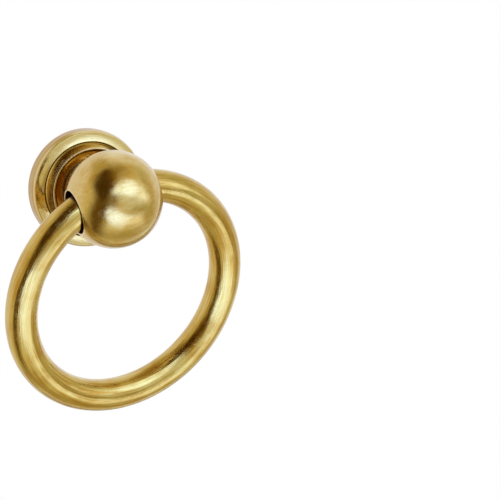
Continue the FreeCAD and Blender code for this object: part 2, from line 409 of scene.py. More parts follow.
@dataclass(frozen=True)
class BrassFinish:
    """Yellow brass, cut or bent, then polished on a cloth wheel and handled since.

    The metal is clean and pale, with cloudy patches a few millimetres across where handling has let
    a warmer skin grow back. Edges that cloth and fingers reach are brighter. The dish, the rose's side
    and the neck under the ball get a painted amber shade, and the groove, corners and the hole get a
    dark colour that is partly polish residue and partly painted shade. Buffing haze, 2 mm across, makes
    a highlight crisp in one spot and softer in the next, and scratches and residue take the gloss off.
    """

    name: str
    roughness: float
    grains: tuple[Grain, ...]
    scratches: tuple[Scratches, ...]
    streaks: Grain
    clean: str = "dfc985"
    warm: str = "cda954"
    edge: str = "f0e2b0"
    # Painted amber shade for the dish, the rose's side and the neck, then the dark colour of residue
    # and painted shade for the groove, corners and the hole
    amber_shade_colour: str = "cf9f4c"
    residue_shade_colour: str = "4a220c"
    patches: Grain = Grain((6.0, 6.0, 6.0), 2.2, 3.0)
    patch_share: float = 0.2
    haze: Grain = Grain((2.2, 2.2, 2.2), 0.12, 3.0)
    scratch_depth: float = 0.006
    scratch_warmth: float = 0.3
    scratch_haze: float = 0.1
    residue_haze: float = 0.4

    def material(self) -> bpy.types.Material:
        """Builds the material on the piece's own places and shares.

        Returns:
            The material, named for the finish.
        """
        material = new_material(self.name)
        tree = material.node_tree
        place = add_node(tree, "ShaderNodeAttribute", {"attribute_name": PLACE}).outputs["Vector"]
        shares = add_node(tree, "ShaderNodeAttribute", {"attribute_name": SHARES}).outputs["Vector"]
        residue_and_shade, amber_shade, worn = add_node(tree, "ShaderNodeSeparateXYZ", inputs={0: shares}).outputs
        height, marks = 0.0, 0.0
        for grain in self.grains:
            height = grain.lay(tree, place, height)
        for layer in self.scratches:
            marks = layer.lay(tree, place, marks)
        # A scratch glints on one side and shades on the other, because it has a depth
        height = add_node(tree, "ShaderNodeMath", {"operation": "MULTIPLY_ADD"}, {
            0: marks, 1: -self.scratch_depth, 2: height}).outputs[0]
        bump = add_node(tree, "ShaderNodeBump", inputs={
            "Strength": 1.0, "Distance": MM, "Height": height}).outputs[0]
        warmth = self.streaks.lay(tree, place, self.patches.lay(tree, place, self.patch_share))
        dulled = add_node(tree, "ShaderNodeMath", {"operation": "MULTIPLY_ADD", "use_clamp": True}, {
            0: marks, 1: self.scratch_warmth, 2: warmth}).outputs[0]
        colour = linear_colour(self.clean)
        # The painted amber shade and the dark residue with painted shade are mixed into the colour here
        for share, over in ((dulled, self.warm), (worn, self.edge), (amber_shade, self.amber_shade_colour),
                            (residue_and_shade, self.residue_shade_colour)):
            colour = add_node(tree, "ShaderNodeMix", {"data_type": "RGBA"}, {
                0: share, 6: colour, 7: linear_colour(over)}).outputs[2]
        haze = self.haze.lay(tree, place, self.roughness)
        for share, rise in ((marks, self.scratch_haze), (residue_and_shade, self.residue_haze)):
            haze = add_node(tree, "ShaderNodeMath", {"operation": "MULTIPLY_ADD"}, {
                0: share, 1: rise, 2: haze}).outputs[0]
        shader = add_node(tree, "ShaderNodeBsdfPrincipled", inputs={
            "Base Color": colour, "Metallic": 1.0, "Roughness": haze, "Normal": bump})
        add_node(tree, "ShaderNodeOutputMaterial", inputs={"Surface": shader.outputs[0]})
        return material

    def dress(self, piece: bpy.types.Object, places: np.ndarray, shares: np.ndarray) -> None:
        """Gives a piece the finish.

        Args:
            piece: The piece.
            places: Each point's place in millimetres, along the way that the cloth or tool went.
            shares: For each point, how far it has residue with painted shade, painted amber shade, and
                wear that makes it bright.
        """
        for name, values in ((PLACE, places), (SHARES, shares)):
            attribute = piece.data.attributes.new(name, "FLOAT_VECTOR", "POINT")
            attribute.data.foreach_set("vector", values.astype(np.float32).ravel())
        piece.data.materials.append(self.material())


# Brass as it comes off the lathe and the cloth wheel: turning marks 0.2 and 0.5 mm apart, which
# draw reflections out into concentric streaks. Real ones are too fine to see, so these are coarser.
TURNED_BRASS = BrassFinish(
    "turned_brass", 0.08,
    grains=(Grain((0.5, 7.0, 7.0), 0.010), Grain((0.18, 4.0, 4.0), 0.002),
            Grain((3.0, 5.0, 5.0), 0.02, 1.0)),
    scratches=(Scratches(0.2, 6.0, (0, 0, 0), 0.04), Scratches(2.5, 0.4, (20, 30, 50))),
    streaks=Grain((0.3, 6.0, 6.0), 1.6))

# A brass ball turned and then buffed by hand: soft waves 4 mm long, a mottle of about a millimetre
# and finer, and scuffs of a few millimetres that cross all ways.
BUFFED_BRASS = BrassFinish(
    "polished_brass", 0.09,
    grains=(Grain((4.0, 4.0, 4.0), 0.06, 1.0), Grain((1.1, 1.1, 1.1), 0.010),
            Grain((0.4, 0.4, 0.4), 0.003)),
    scratches=(Scratches(5.0, 0.45, (10, 25, 70)), Scratches(4.0, 0.4, (-35, 60, 20)),
               Scratches(6.0, 0.5, (80, -20, -40)), Scratches(3.0, 0.5, (0, 15, -20), 0.04)),
    streaks=Grain((3.0, 0.9, 0.9), 1.3, 3.0))

# Drawn brass bar, bent to a ring and polished along its length: satin streaks that follow it, long
# scratches along it and a few across, and the slow unevenness that bending leaves.
DRAWN_BRASS = BrassFinish(
    "ring_brass", 0.11,
    grains=(Grain((14.0, 0.6, 0.6), 0.045), Grain((7.0, 2.5, 2.5), 0.12, 1.0),
            Grain((1.4, 0.4, 0.4), 0.008)),
    scratches=(Scratches(14.0, 0.3, (0, 0, 2), 0.04), Scratches(10.0, 0.35, (0, 4, -5)),
               Scratches(2.5, 0.35, (0, 30, 40), 0.02)),
    streaks=Grain((12.0, 0.45, 0.45), 3.0), clean="dac374", warm="c49c46")


@dataclass(frozen=True)
class Rose:
    """Backplate turned from bar: a rounded rim, a hollow band, a fine groove and a dished collar.

    Lengths are in millimetres, and heights are over the drawer front. Hollows and crowns are the
    depth and the height of an arc. Residue with painted shade, painted amber shade and wear go from
    zero to one.
    """

    collar_radius: float = 10.5
    collar_height: float = 7.75
    collar_taper: float = 0.55
    collar_hollow: float = 0.06
    lip_width: float = 0.4
    lip_crown: float = 0.15
    bead_width: float = 0.2
    bead_rise: float = 0.35
    groove_width: float = 0.24
    groove_depth: float = 0.28
    band_width: float = 2.05
    band_height: float = 4.45
    band_hollow: float = 0.07
    rim_width: float = 0.46
    rim_height: float = 4.05
    rim_crown: float = 0.15
    side_height: float = 2.3
    back_chamfer: float = 0.3
    seat_radius: float = 6.9
    seat_height: float = 4.3
    dish_hollow: float = 0.7
    bore_radius: float = 3.45
    edge_softening: float = 0.04
    fine_step: float = 0.01
    outline_points: int = 250
    segments: int = 384
    bend_weight: float = 1.2
    pattern_radius: float = 10.0
    # Reach and shares of the dark residue with painted shade, and of the painted amber shade
    residue_shade_reach: float = 0.34
    corner_residue_shade: float = 0.8
    side_residue_shade: float = 0.22
    dish_amber_shade: float = 0.15
    side_amber_shade: float = 0.3
    lip_wear_reach: float = 0.55
    rim_wear_reach: float = 0.4
    wear: float = 0.7

    @property
    def band_radius(self) -> float:
        """Radius of the band's inner edge."""
        return self.collar_radius + self.bead_width + self.groove_width

    @property
    def rim_radius(self) -> float:
        """Radius of the band's outer edge, where the rim starts."""
        return self.band_radius + self.band_width

    @property
    def lip_radius(self) -> float:
        """Radius at the top of the tapered collar."""
        return self.collar_radius - self.collar_taper

    @property
    def groove_floor(self) -> tuple[float, float]:
        """Radius and height of the groove's floor."""
        return self.band_radius - self.groove_width / 2, self.band_height - self.groove_depth

    def outline(self) -> np.ndarray:
        """Section of the rose: straight edges and arcs from corner to corner, softened.

        Returns:
            Radius and height of each point, from the back of the bore out and back over the front.
        """
        rose_radius = self.rim_radius + self.rim_width
        # Radius, height, and the bulge of the edge that starts there
        corners = [
            (self.bore_radius, 0, 0),
            (rose_radius - self.back_chamfer, 0, 0),
            (rose_radius, self.back_chamfer, 0),
            (rose_radius, self.side_height, self.rim_crown),
            (self.rim_radius, self.rim_height, -self.band_hollow),
            (self.band_radius, self.band_height, 0),
            (*self.groove_floor, 0),
            (self.band_radius - self.groove_width, self.band_height, 0),
            (self.collar_radius, self.band_height + self.bead_rise, -self.collar_hollow),
            (self.lip_radius, self.collar_height, self.lip_crown),
            (self.lip_radius - self.lip_width, self.collar_height, -self.dish_hollow),
            (self.seat_radius, self.seat_height, 0),
            (self.bore_radius, self.seat_height, 0),
        ]
        places = [np.array(corner[:2], float) for corner in corners]
        edges = [arc_edge(place, places[(index + 1) % len(places)], corners[index][2], self.fine_step)
                 for index, place in enumerate(places)]
        fine = soften(np.vstack(edges), self.edge_softening, self.fine_step)
        return spaced_by_bend(fine, self.outline_points, closed=True, bend_weight=self.bend_weight)

    def build(self) -> bpy.types.Object:
        """Makes the turned backplate and dresses it.

        The finish's places are the distance along the section and a circle round the axis.

        Returns:
            The piece.
        """
        outline = self.outline()
        angles = np.linspace(0, -FULL_TURN, self.segments, endpoint=False)
        faces = grid_faces(self.segments, self.outline_points, rows_closed=True, columns_closed=True)
        piece = new_piece("rose_turned", revolved(outline, angles), faces)
        steps = np.hypot(*np.diff(outline, axis=0).T)
        along = np.concatenate([[0], np.cumsum(steps)])
        shape = (self.segments, self.outline_points)
        places = np.stack([np.broadcast_to(along, shape),
                           np.broadcast_to(self.pattern_radius * np.cos(angles)[:, None], shape),
                           np.broadcast_to(self.pattern_radius * np.sin(angles)[:, None], shape)], -1)
        shares = np.broadcast_to(self.shares(outline), (*shape, 3))
        TURNED_BRASS.dress(piece, places, shares)
        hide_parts("rose")
        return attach(piece, "knob")

    def shares(self, outline: np.ndarray) -> np.ndarray:
        """How far each point of the section has residue with painted shade, painted amber shade, and
        wear.

        Residue with painted shade darkens the groove and the corner round the neck's foot, and a film
        of it dulls the lower side.
        Painted amber shade lies in the dish and on the side, and the collar's lip and the outer rim are
        worn.

        Args:
            outline: Radius and height of each point, in millimetres.

        Returns:
            The three shares of each point.
        """
        def near(place: tuple[float, float], reach: float) -> np.ndarray:
            """One at a place of the section, fading to zero at its reach."""
            return 1 - smooth(np.hypot(*(outline - place).T), 0, reach)

        radius, height = outline.T
        lip = (self.lip_radius - self.lip_width / 2, self.collar_height)
        rim = (self.rim_radius + self.rim_width / 2, self.rim_height - self.rim_width)
        corner_edge = (self.seat_radius - 0.4, self.seat_radius + 0.2)
        dish_edge = (self.seat_radius, lip[0] - 0.4)
        side_edge = (rim[0] - 0.1, rim[0] + 0.2)
        side_top = (3.2, 3.9)
        in_front = height > self.seat_height - 0.2
        corner = (1 - smooth(radius, *corner_edge)) * in_front
        dish = (1 - smooth(radius, *dish_edge)) * in_front
        side = smooth(radius, *side_edge) * (1 - smooth(height, *side_top))
        # Painted shade: dark in the groove, round the neck's foot and on the lower side, amber in the
        # dish and on the side
        residue_and_shade = np.maximum(near(self.groove_floor, self.residue_shade_reach),
                            np.maximum(self.corner_residue_shade * corner, self.side_residue_shade * side))
        amber_shade = np.maximum(self.dish_amber_shade * dish, self.side_amber_shade * side)
        worn = self.wear * np.maximum(near(lip, self.lip_wear_reach), near(rim, self.rim_wear_reach))
        return np.column_stack([residue_and_shade, amber_shade, worn])


@dataclass(frozen=True)
class BallKnob:
    """Ball with a hole for the ring, on a waisted neck with a foot, a spigot and a tapped back.

    Lengths are in millimetres, and heights are over the drawer front. The window, half of whose
    angle is given, is the square of the ball's skin that the neck grows out of.
    """

    ball_radius: float = 11.0
    hole_radius: float = 4.95
    rim_rounding: float = 0.25
    neck_radius: float = 4.6
    neck_top: float = 10.0
    neck_hollow: float = 0.7
    neck_rounding: float = 0.8
    foot_radius: float = 6.3
    foot_top: float = 5.1
    seat_height: float = 4.3
    spigot_radius: float = 3.4
    spigot_end: float = 0.2
    spigot_chamfer: float = 0.3
    screw_bore_radius: float = 1.65
    screw_mouth_radius: float = 1.85
    screw_depth: float = 10.0425
    drill_half_angle: float = math.radians(59)
    window: float = math.radians(33)
    window_cells: int = 60
    wall_points: int = 28
    easing_points: int = 14
    waist_points: int = 40
    run_points: int = 6
    skirt_layers: int = 24
    # Share of painted amber shade on the neck under the ball
    neck_amber_shade: float = 0.8
    mouth_wear: float = 0.8

    @property
    def standoff(self) -> float:
        """Distance of the ball's centre from the drawer front."""
        return self.neck_top + math.sqrt(self.ball_radius ** 2 - self.neck_radius ** 2)

    @property
    def cell(self) -> float:
        """Angle across one quad of the ball's skin."""
        return 2 * self.window / self.window_cells

    def build(self) -> bpy.types.Object:
        """Makes the knob in one closed surface and dresses it.

        Returns:
            The piece.
        """
        points, faces = self.surface()
        piece = new_piece("ball_knob_polished", points, faces)
        BUFFED_BRASS.dress(piece, points, self.shares(points))
        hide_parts("ball_knob")
        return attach(piece, "knob")

    def shares(self, points: np.ndarray) -> np.ndarray:
        """How far each point has residue with painted shade, painted amber shade, and wear.

        The hole's wall is painted dark, partly residue and partly shade, the neck under the ball gets a
        painted amber shade, and the ring rubs the mouths of the hole bright.

        Args:
            points: The knob's points in millimetres.

        Returns:
            The three shares of each point.
        """
        x, y, z = points.T
        from_axis = np.hypot(y + self.standoff, z)
        off_rim = np.abs(from_axis - self.hole_radius - self.rim_rounding)
        wall_edge = (self.hole_radius + 0.02, self.hole_radius + 0.14)
        neck_edge = (self.neck_top - 2, self.neck_top + 2)
        mouth_start = (8.0, 9.0)
        rim_edge = (0.05, 0.4)
        in_ball = np.abs(x) < self.ball_radius - 0.5
        # Painted shade: the hole's wall is dark, and the neck under the ball gets painted amber shade
        residue_and_shade = (1 - smooth(from_axis, *wall_edge)) * in_ball
        amber_shade = self.neck_amber_shade * (1 - smooth(-y, *neck_edge))
        worn = self.mouth_wear * smooth(np.abs(x), *mouth_start) * (1 - smooth(off_rim, *rim_edge))
        return np.column_stack([residue_and_shade, amber_shade, worn])

    def ball_outline(self) -> tuple[np.ndarray, np.ndarray]:
        """Section of the drilled ball in a half plane through the hole's axis.

        The ball's arc eases by a small arc at each mouth into the hole's straight wall.

        Returns:
            The angles of the ball's own arc from the hole's axis, and then the other points, which
            lead from its far end through the hole to its near end, as distance along the axis and
            radius.
        """
        rim_level = self.hole_radius + self.rim_rounding
        rim_place = math.sqrt((self.ball_radius - self.rim_rounding) ** 2 - rim_level ** 2)
        rim_angle = math.atan2(rim_level, rim_place)
        window_start = math.pi / 2 - self.window
        side_cells = round((window_start - rim_angle) / self.cell)
        side = np.linspace(rim_angle, window_start, side_cells, endpoint=False)
        middle = np.linspace(window_start, math.pi - window_start, self.window_cells + 1)
        arc = np.concatenate([side, middle, math.pi - side[::-1]])
        turn = np.linspace(rim_angle, -math.pi / 2, self.easing_points)[1:]
        easing = np.column_stack([rim_place + self.rim_rounding * np.cos(turn),
                                  rim_level + self.rim_rounding * np.sin(turn)])
        wall = np.column_stack([np.linspace(rim_place, -rim_place, self.wall_points + 2)[1:-1],
                                np.full(self.wall_points, self.hole_radius)])
        mirrored = easing * (-1, 1)
        return arc, np.vstack([mirrored, wall[::-1], easing[::-1]])

    def neck_outline(self) -> np.ndarray:
        """Section of the neck, the foot, the spigot and the tapped hole.

        The waist is an arc, hollow between the foot and the neck's top, and a small arc that touches
        it and the ball from outside eases the one into the other.

        Returns:
            Radius and height from the ball's skin down the neck and spigot, and up the tapped hole.
        """
        foot = np.array([self.foot_radius, self.foot_top])
        top = np.array([self.neck_radius, self.neck_top])
        chord = top - foot
        length = float(np.hypot(*chord))
        waist_radius = (length ** 2 / 4 + self.neck_hollow ** 2) / (2 * self.neck_hollow)
        outwards = np.array([chord[1], -chord[0]]) / length
        waist_centre = (foot + top) / 2 + outwards * (waist_radius - self.neck_hollow)
        ball_centre = np.array([0, self.standoff])
        easing_centre = circles_meet(waist_centre, waist_radius - self.neck_rounding,
                                     ball_centre, self.ball_radius + self.neck_rounding)
        to_ball = math.atan2(*(ball_centre - easing_centre)[::-1])
        to_waist = math.atan2(*(easing_centre - waist_centre)[::-1])
        easing = arc_points(easing_centre, self.neck_rounding, to_ball, to_waist, self.easing_points)
        to_foot = math.atan2(*(foot - waist_centre)[::-1])
        waist = arc_points(waist_centre, waist_radius, to_waist, to_foot, self.waist_points)
        tip = self.screw_depth + self.screw_bore_radius / math.tan(self.drill_half_angle)
        chamfer_end = self.spigot_radius - self.spigot_chamfer
        mouth_depth = self.spigot_end + self.screw_mouth_radius - self.screw_bore_radius
        corners = np.array([
            (self.foot_radius, self.foot_top),
            (self.foot_radius, self.seat_height),
            (self.spigot_radius, self.seat_height),
            (self.spigot_radius, self.spigot_end + self.spigot_chamfer),
            (chamfer_end, self.spigot_end),
            (self.screw_mouth_radius, self.spigot_end),
            (self.screw_bore_radius, mouth_depth),
            (self.screw_bore_radius, self.screw_depth),
            (0, tip),
        ])
        runs = [np.linspace(corner, following, self.run_points, endpoint=False)
                for corner, following in zip(corners[:-1], corners[1:])]
        return np.vstack([easing, waist[1:-1], *runs, corners[-1:]])

    def drilled_ball(self) -> tuple[np.ndarray, np.ndarray, np.ndarray]:
        """Ball with its hole, and with a square window on the side of the neck.

        The section is carried round the hole's axis, and the quads in the window are left out.

        Returns:
            Points round the ball's centre, four point numbers for each quad, and the numbers of the
            points round the window.
        """
        arc, rest = self.ball_outline()
        skin = self.ball_radius * np.column_stack([np.cos(arc), np.sin(arc)])
        along, radius = np.vstack([skin, rest]).T
        open_cells = round((FULL_TURN - 2 * self.window) / self.cell)
        inside = np.linspace(-self.window, self.window, self.window_cells + 1)
        outside = np.linspace(self.window, FULL_TURN - self.window, open_cells + 1)[1:-1]
        girth = np.concatenate([inside, outside])
        points = np.stack([np.broadcast_to(along, (girth.size, along.size)),
                           np.cos(girth)[:, None] * radius,
                           np.sin(girth)[:, None] * radius], -1).reshape(-1, 3)
        first = int(np.argmin(np.abs(arc - (math.pi / 2 - self.window))))
        last = first + self.window_cells
        numbers = np.arange(len(points)).reshape(girth.size, along.size)
        edge = np.concatenate([
            numbers[0, first:last],
            numbers[:self.window_cells, last],
            numbers[self.window_cells, last:first:-1],
            numbers[self.window_cells:0:-1, first],
        ])
        faces = grid_faces(girth.size, along.size, rows_closed=True, columns_closed=True)
        row, column = np.divmod(np.arange(len(faces)), along.size)
        in_window = (row < self.window_cells) & (column >= first) & (column < last)
        return points, faces[~in_window], edge

    def surface(self) -> tuple[np.ndarray, np.ndarray]:
        """Whole knob: the ball, a skirt of rings in its window, and the neck carried on from it.

        The rings pass from the window's edge to the circle where the neck starts, each point moved
        out to the ball's skin, and the neck's section is carried round the Y axis to its tip.

        Returns:
            Points in millimetres, and four point numbers for each face, with -1 in a triangle.
        """
        points, faces, edge = self.drilled_ball()
        edge_points = points[edge]
        azimuth = np.arctan2(edge_points[:, 2], edge_points[:, 0])
        neck = self.neck_outline()
        neck_circle = np.column_stack([neck[0, 0] * np.cos(azimuth),
                                       np.full(azimuth.size, self.standoff - neck[0, 1]),
                                       neck[0, 0] * np.sin(azimuth)])
        share = (np.arange(1, self.skirt_layers) / self.skirt_layers)[:, None, None]
        skirt = edge_points * (1 - share) + neck_circle * share
        skirt *= self.ball_radius / np.linalg.norm(skirt, axis=-1, keepdims=True)
        radius, height = neck[:-1].T[:, :, None]
        shaft = np.stack([radius * np.cos(azimuth),
                          np.broadcast_to(self.standoff - height, (len(height), azimuth.size)),
                          radius * np.sin(azimuth)], -1)
        added = np.vstack([skirt, shaft]).reshape(-1, 3)
        ladder = np.vstack([edge, len(points) + np.arange(len(added)).reshape(-1, edge.size)])
        after = np.roll(ladder, -1, axis=1)
        quads = np.stack([ladder[:-1], after[:-1], after[1:], ladder[1:]], -1).reshape(-1, 4)
        tip = np.array([[0, self.standoff - neck[-1, 1], 0]])
        every_point = np.vstack([points, added, tip])
        fan = np.column_stack([ladder[-1], after[-1], np.full(edge.size, len(every_point) - 1),
                               np.full(edge.size, -1)])
        every_point[:, 1] -= self.standoff
        return used_only(every_point, np.vstack([faces, quads, fan]))


@dataclass(frozen=True)
class PullRing:
    """Ring of round bar whose two straight ends meet inside the ball, bent easily into the circle.

    Lengths are in millimetres. The bend's radius and the ring's are those of the bar's centre line.
    """

    knob: BallKnob = BallKnob()
    bar_radius: float = 3.65
    ring_radius: float = 26.3
    bend_radius: float = 10.0
    play: float = 0.35
    slide: float = 0.5
    front_clearance: float = 0.1
    # Reach of the dark colour on the bar inside the ball: painted shade in the hole
    residue_shade_reach: float = 8.7
    residue_shade_fade: float = 0.3
    segments: int = 720
    section_points: int = 96

    @property
    def mouth(self) -> float:
        """Distance of each of the hole's mouths from the ball's centre."""
        return math.sqrt(self.knob.ball_radius ** 2 - self.knob.hole_radius ** 2)

    @property
    def drop(self) -> float:
        """Distance of the ring's centre from the hole's axis."""
        return math.sqrt(self.ring_radius ** 2 - self.mouth ** 2)

    @property
    def sweep(self) -> float:
        """Angle that each of the two bends turns through."""
        return math.acos(self.drop / self.ring_radius)

    @property
    def half_end(self) -> float:
        """Length of the straight stretch inside the ball, on each side of the joint."""
        return (self.ring_radius - self.bend_radius) * math.sin(self.sweep)

    @property
    def half_length(self) -> float:
        """Half the bar's length."""
        return self.half_end + self.bend_radius * self.sweep + self.ring_radius * (math.pi - self.sweep)

    @property
    def skew(self) -> float:
        """How far the loose ring turns in its hole, until the play that is left."""
        clearance = self.knob.hole_radius - self.bar_radius
        return math.asin((clearance - self.play) / (self.mouth + self.slide))

    @property
    def lean(self) -> float:
        """How far the ring leans back until its lowest stretch rests on the drawer front.

        With room d, drop a, radius R and the skew's sine s, it is the angle whose sine t solves
        (d - a t)^2 = R^2 (1 - (1 - s^2)(1 - t^2)): its positive root.

        Returns:
            The angle in radians.
        """
        skew_sine = math.sin(self.skew)
        room = self.knob.standoff - self.bar_radius - self.front_clearance
        square = self.ring_radius ** 2 * (1 - skew_sine ** 2) - self.drop ** 2
        excess = room ** 2 - (self.ring_radius * skew_sine) ** 2
        root = math.sqrt((room * self.drop) ** 2 + square * excess)
        return math.asin(excess / (room * self.drop + root))

    @property
    def stations(self) -> np.ndarray:
        """Place of each cross-section along the bar."""
        return (np.arange(self.segments) + 0.5) / self.segments * 2 * self.half_length

    def centre_line(self) -> tuple[np.ndarray, np.ndarray]:
        """Centre line in the ring's own plane, and the outward direction across it.

        The line is straight through the ball, turns with the bend's radius, then with the ring's.

        Returns:
            Points (x, z) all the way round, and the unit directions (x, z) away from the middle.
        """
        drop, half_end, half_length = self.drop, self.half_end, self.half_length
        level = (self.ring_radius - self.bend_radius) * math.cos(self.sweep) + self.bend_radius - drop
        bend_length = self.bend_radius * self.sweep
        side = np.where(self.stations < half_length, 1.0, -1.0)
        reach = np.minimum(self.stations, 2 * half_length - self.stations)
        in_bend = np.clip(reach - half_end, 0, bend_length) / self.bend_radius
        in_loop = np.clip(reach - half_end - bend_length, 0, None) / self.ring_radius
        turned = in_bend + in_loop
        straight = np.minimum(reach, half_end)
        on_loop = reach > half_end + bend_length
        x = np.where(on_loop, self.ring_radius * np.sin(turned),
                     straight + self.bend_radius * np.sin(in_bend))
        z = np.where(on_loop, self.ring_radius * np.cos(turned) - drop,
                     level - self.bend_radius + self.bend_radius * np.cos(in_bend))
        return np.column_stack([side * x, z]), np.column_stack([side * np.sin(turned), np.cos(turned)])

    def build(self) -> bpy.types.Object:
        """Makes the bar's skin, a circle carried round the centre line, and dresses it.

        The finish's places are the distance along the bar and the place in its section, and the stretch
        inside the ball is painted dark as shade in the hole.

        Returns:
            The piece.
        """
        line, outwards = self.centre_line()
        angles = np.linspace(0, -FULL_TURN, self.section_points, endpoint=False)
        shape = (self.segments, self.section_points)
        across = self.bar_radius * np.cos(angles)
        deep = np.broadcast_to(self.bar_radius * np.sin(angles), shape)
        points = np.stack([line[:, None, 0] + outwards[:, None, 0] * across, deep,
                           line[:, None, 1] + outwards[:, None, 1] * across], -1).reshape(-1, 3)
        turn = Matrix.Rotation(self.lean, 3, "X") @ Matrix.Rotation(self.skew, 3, "Z")
        points = points @ np.array(turn).T + (-self.slide, -self.knob.standoff, 0)
        faces = grid_faces(self.segments, self.section_points, rows_closed=True, columns_closed=True)
        piece = new_piece("pull_ring_polished", points, faces)
        places = np.stack([np.broadcast_to(self.stations[:, None], shape),
                           np.broadcast_to(across, shape), deep], -1)
        # Painted shade: the bar darkens where it runs inside the ball's hole
        from_joint = np.minimum(self.stations, 2 * self.half_length - self.stations)
        residue_and_shade = 1 - smooth(from_joint, self.residue_shade_reach - self.residue_shade_fade,
                            self.residue_shade_reach + self.residue_shade_fade)
        shares = np.zeros((*shape, 3))
        shares[..., 0] = residue_and_shade[:, None]
        DRAWN_BRASS.dress(piece, places, shares)
        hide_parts("pull_ring")
        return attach(piece, "ring")


@dataclass(frozen=True)
class SoftPanel:
    """A card or soft box that the brass mirrors, far off, with a soft edge.

    It is given by where it stands, seen from the object, all in degrees: azimuth to the right of the
    object's front, elevation over its level, turn, half its width and height, and how far its edge
    fades. It shines with its colour, times its level. A bend arches it, by that part of its half
    height at its ends, and a taper makes it higher by that part at one end and lower at the other,
    within the limits of its stretch.
    """

    name: str
    azimuth: float
    elevation: float
    turn: float
    half_width: float
    half_height: float
    fade: float
    colour: str
    level: float = 1.0
    bend: float = 0.0
    taper: float = 0.0
    stretch_limits: tuple[float, float] = (0.05, 3.0)

    def axes(self) -> tuple[np.ndarray, np.ndarray, np.ndarray]:
        """Directions of the panel, from its azimuth, elevation and turn.

        Returns:
            Unit vectors towards its middle, along its width and along its height.
        """
        azimuth, elevation, turn = np.radians([self.azimuth, self.elevation, self.turn])
        middle = np.array([math.cos(elevation) * math.sin(azimuth),
                           -math.cos(elevation) * math.cos(azimuth), math.sin(elevation)])
        level_right = np.array([math.cos(azimuth), math.sin(azimuth), 0])
        level_up = np.cross(middle, level_right)
        right = math.cos(turn) * level_right + math.sin(turn) * level_up
        return middle, right, math.cos(turn) * level_up - math.sin(turn) * level_right

    def cover(self, directions: np.ndarray, under: np.ndarray) -> np.ndarray:
        """Lays the panel over what is behind it.

        A direction's angle from the middle is split along the panel's two axes. The second part,
        less the bend times the square of the first, is compared with the tapered half height, and
        the first with the half width. The two smooth steps are multiplied.

        Args:
            directions: Unit vectors, one in each row.
            under: Light from each of them without the panel.

        Returns:
            Light from each of them with the panel in front.
        """
        middle, right, up = self.axes()
        aside, above = directions @ right, directions @ up
        angle = np.degrees(np.arctan2(np.hypot(aside, above), directions @ middle))
        # The tiny length keeps the direction straight at the middle from a division by zero
        per_length = angle / np.maximum(np.hypot(aside, above), 1e-6)
        aside, above = aside * per_length, above * per_length
        share = aside / self.half_width
        above = above - self.bend * self.half_height * share ** 2
        half_height = self.half_height * np.clip(1 + self.taper * share, *self.stretch_limits)
        inside = (smooth(self.half_width - np.abs(aside), -self.fade, self.fade)
                  * smooth(half_height - np.abs(above), -self.fade, self.fade))
        light = np.array(linear_colour(self.colour)) * self.level
        return under + inside[:, None] * (light - under)


